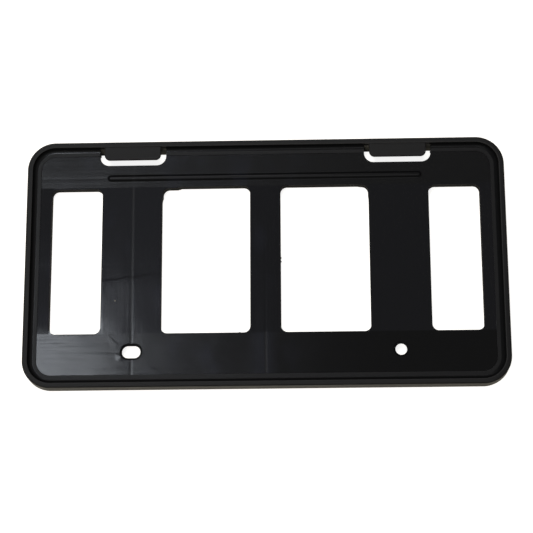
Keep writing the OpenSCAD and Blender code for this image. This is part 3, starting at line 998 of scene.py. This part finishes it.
def panel_relief(tree, at):
    """Height of the polished panel's relief."""
    place = at.place
    along_x = cloud(tree, place, (MARK_LENGTH, MARK_PITCH, MARK_DEPTH))
    along_y = cloud(tree, place, (MARK_PITCH, MARK_LENGTH, MARK_DEPTH))
    marks = product(tree, blend(tree, at.band, along_y, along_x), MARK_H)
    up_webs = cloud(tree, place, WEB_STREAK_CELLS)
    along_bands = cloud(tree, place, BAND_STREAK_CELLS, detail=1)
    band_h = blend(tree, at.lower, UPPER_STREAK_H, LOWER_STREAK_H)
    streak_h = blend(tree, at.band, WEB_STREAK_H, band_h)
    streaks = product(tree, blend(tree, at.band, up_webs, along_bands), streak_h)
    blotches = product(tree, cloud(tree, place, BLOTCH_CELLS, detail=1), at.lower, BLOTCH_H)
    warp = product(tree, cloud(tree, place, WARP_CELLS, detail=1), WARP_H)
    flow = vector(tree, "MULTIPLY", vector(tree, "SUBTRACT", place, DIMPLE_AT), DIMPLE_SCALE)
    dimple = product(tree, rise(tree, vector(tree, "LENGTH", flow), 1, 0), DIMPLE_H)
    creases = total(tree, *[crease(tree, at, start, end) for start, end in CREASES])
    return total(tree, marks, streaks, blotches, warp, weld_line(tree, at), dimple, creases)


def leaning_normal(tree, at):
    """The face's normal, leant a little where the panel isn't quite flat."""
    in_strips = product(tree, at.smooth, rise(tree, absolute(tree, at.x), *STRIPS), outside(tree, at.band))
    at_rib = product(tree, hump(tree, at.y, *LESS_AT_RIB), LESS_RIB_SHARE)
    at_foot = product(tree, rise(tree, at.y, *STRIP_FOOT), LESS_FOOT_SHARE)
    strip = product(tree, in_strips, outside(tree, largest(tree, at_rib, at_foot)), STRIP_LEAN)
    upper = product(tree, at.smooth, at.flat_upper, UPPER_LEAN)
    lean = add_node(tree, "ShaderNodeCombineXYZ")
    feed(tree, lean.inputs["Y"], total(tree, strip, upper))
    facing = add_node(tree, "ShaderNodeNewGeometry")
    leaning = vector(tree, "ADD", facing.outputs["Normal"], lean.outputs[0])
    return vector(tree, "NORMALIZE", leaning)


def plastic_normal(tree, at):
    grain = product(tree, cloud(tree, at.place, GRAIN_CELLS, detail=1), GRAIN_H)
    bump = add_node(tree, "ShaderNodeBump", {"Distance": MM})
    feed(tree, bump.inputs["Height"], blend(tree, at.smooth, grain, panel_relief(tree, at)))
    feed(tree, bump.inputs["Normal"], leaning_normal(tree, at))
    return bump.outputs[0]


def black_plastic():
    material = bpy.data.materials.new("black_plastic")
    material.use_nodes = True
    tree = material.node_tree
    shader = tree.nodes["Principled BSDF"]
    given = add_node(tree, "ShaderNodeTexCoord")
    place = vector(tree, "MULTIPLY", given.outputs["Object"], (1 / MM, 1 / MM, 1 / MM))
    split = add_node(tree, "ShaderNodeSeparateXYZ")
    feed(tree, split.inputs[0], place)
    at = find_finishes(tree, place, *split.outputs)
    feed(tree, shader.inputs["Roughness"], plastic_roughness(tree, at))
    feed(tree, shader.inputs["Base Color"], plastic_colour(tree, at))
    feed(tree, shader.inputs["Normal"], plastic_normal(tree, at))
    return material


# Floor, world and lamps

WHITE = (1, 1, 1, 1)

# The floor: a disc, its colour, and how much brighter the camera sees it
FLOOR_R, FLOOR_SEGMENTS = 6, 96
FLOOR_COLOUR, FLOOR_GLOW = (0.74, 0.7, 0.62, 1), 0.85

# The sky that lights the holder: its strength, what is added overhead, and where that begins and is full
SKY, SKY_OVERHEAD, OVERHEAD = 0.03, 0.1, (0.3, 0.9)

# Lamps that the plastic mirrors, all facing straight down: place, size, power and colour
MIRRORED_LAMPS = {
    "key": ((-0.348, 0.134, 1.1), (0.144, 0.167), 0.7, (0.87, 0.93, 1)),
    "halo": ((-0.275, 0.05, 1.12), (0.35, 0.4), 0.14, (0.78, 0.82, 1)),
    "upper": ((-0.3, 0.35, 1.12), (0.4, 0.22), 0.03, (0.74, 0.8, 1)),
    "far": ((-0.35, 0.85, 1.1), (0.7, 0.5), 0.75, (0.95, 0.97, 1)),
    "near": ((-0.1, -0.45, 1.1), (0.7, 0.35), 0.27, (0.95, 0.97, 1)),
}

# Lamps that it doesn't mirror, all facing the holder: the same
SOFT_LAMPS = {
    "fill": ((-0.2, 0.9, 1.6), (1.2, 0.9), 19, (1, 0.98, 0.96)),
    "front": ((-0.5, -1.1, 0.9), (0.8, 0.6), 10, (1, 0.96, 0.88)),
}


def empty_tree(owner):
    """The node tree of a material or world, without the nodes it comes with."""
    owner.use_nodes = True
    owner.node_tree.nodes.clear()
    return owner.node_tree


def make_floor():
    bm = bmesh.new()
    bmesh.ops.create_circle(bm, cap_ends=True, segments=FLOOR_SEGMENTS, radius=FLOOR_R)
    floor = make_object("floor", bm)
    material = bpy.data.materials.new("pale_floor")
    tree = empty_tree(material)
    output = add_node(tree, "ShaderNodeOutputMaterial")
    add = add_node(tree, "ShaderNodeAddShader")
    diffuse = add_node(tree, "ShaderNodeBsdfDiffuse", {"Color": FLOOR_COLOUR})
    emission = add_node(tree, "ShaderNodeEmission", {"Color": WHITE})
    path = add_node(tree, "ShaderNodeLightPath")
    strength = product(tree, path.outputs["Is Camera Ray"], FLOOR_GLOW)
    feed(tree, emission.inputs["Strength"], strength)
    feed(tree, add.inputs[0], diffuse.outputs[0])
    feed(tree, add.inputs[1], emission.outputs[0])
    feed(tree, output.inputs["Surface"], add.outputs[0])
    floor.data.materials.append(material)


def make_world():
    """White for the camera, and a dim sky, brighter overhead, for the holder."""
    world = bpy.data.worlds.new("studio")
    bpy.context.scene.world = world
    tree = empty_tree(world)
    output = add_node(tree, "ShaderNodeOutputWorld")
    given = add_node(tree, "ShaderNodeTexCoord")
    split = add_node(tree, "ShaderNodeSeparateXYZ")
    feed(tree, split.inputs[0], given.outputs["Generated"])
    dim = add_node(tree, "ShaderNodeBackground", {"Color": WHITE})
    overhead = product(tree, rise(tree, split.outputs["Z"], *OVERHEAD), SKY_OVERHEAD)
    feed(tree, dim.inputs["Strength"], total(tree, SKY, overhead))
    white = add_node(tree, "ShaderNodeBackground", {"Color": WHITE, "Strength": 1})
    path = add_node(tree, "ShaderNodeLightPath")
    mix = add_node(tree, "ShaderNodeMixShader")
    feed(tree, mix.inputs[0], path.outputs["Is Camera Ray"])
    feed(tree, mix.inputs[1], dim.outputs[0])
    feed(tree, mix.inputs[2], white.outputs[0])
    feed(tree, output.inputs["Surface"], mix.outputs[0])


def make_lamp(name, mirrored, place, size, power, colour):
    data = bpy.data.lights.new(name, "AREA")
    data.shape = "RECTANGLE"
    data.size, data.size_y = size
    data.energy = power
    data.color = colour
    lamp = bpy.data.objects.new(name, data)
    lamp.location = place
    aim = Vector((place[0], place[1], 0)) if mirrored else Vector()
    lamp.rotation_mode = "QUATERNION"
    lamp.rotation_quaternion = (aim - Vector(place)).to_track_quat("-Z", "Y")
    lamp.visible_glossy = mirrored
    bpy.context.collection.objects.link(lamp)


make_camera()
make_holder(black_plastic())
make_floor()
make_world()
for name, lamp in MIRRORED_LAMPS.items():
    make_lamp(name, True, *lamp)
for name, lamp in SOFT_LAMPS.items():
    make_lamp(name, False, *lamp)

bpy.context.scene.view_settings.view_transform = "Standard"
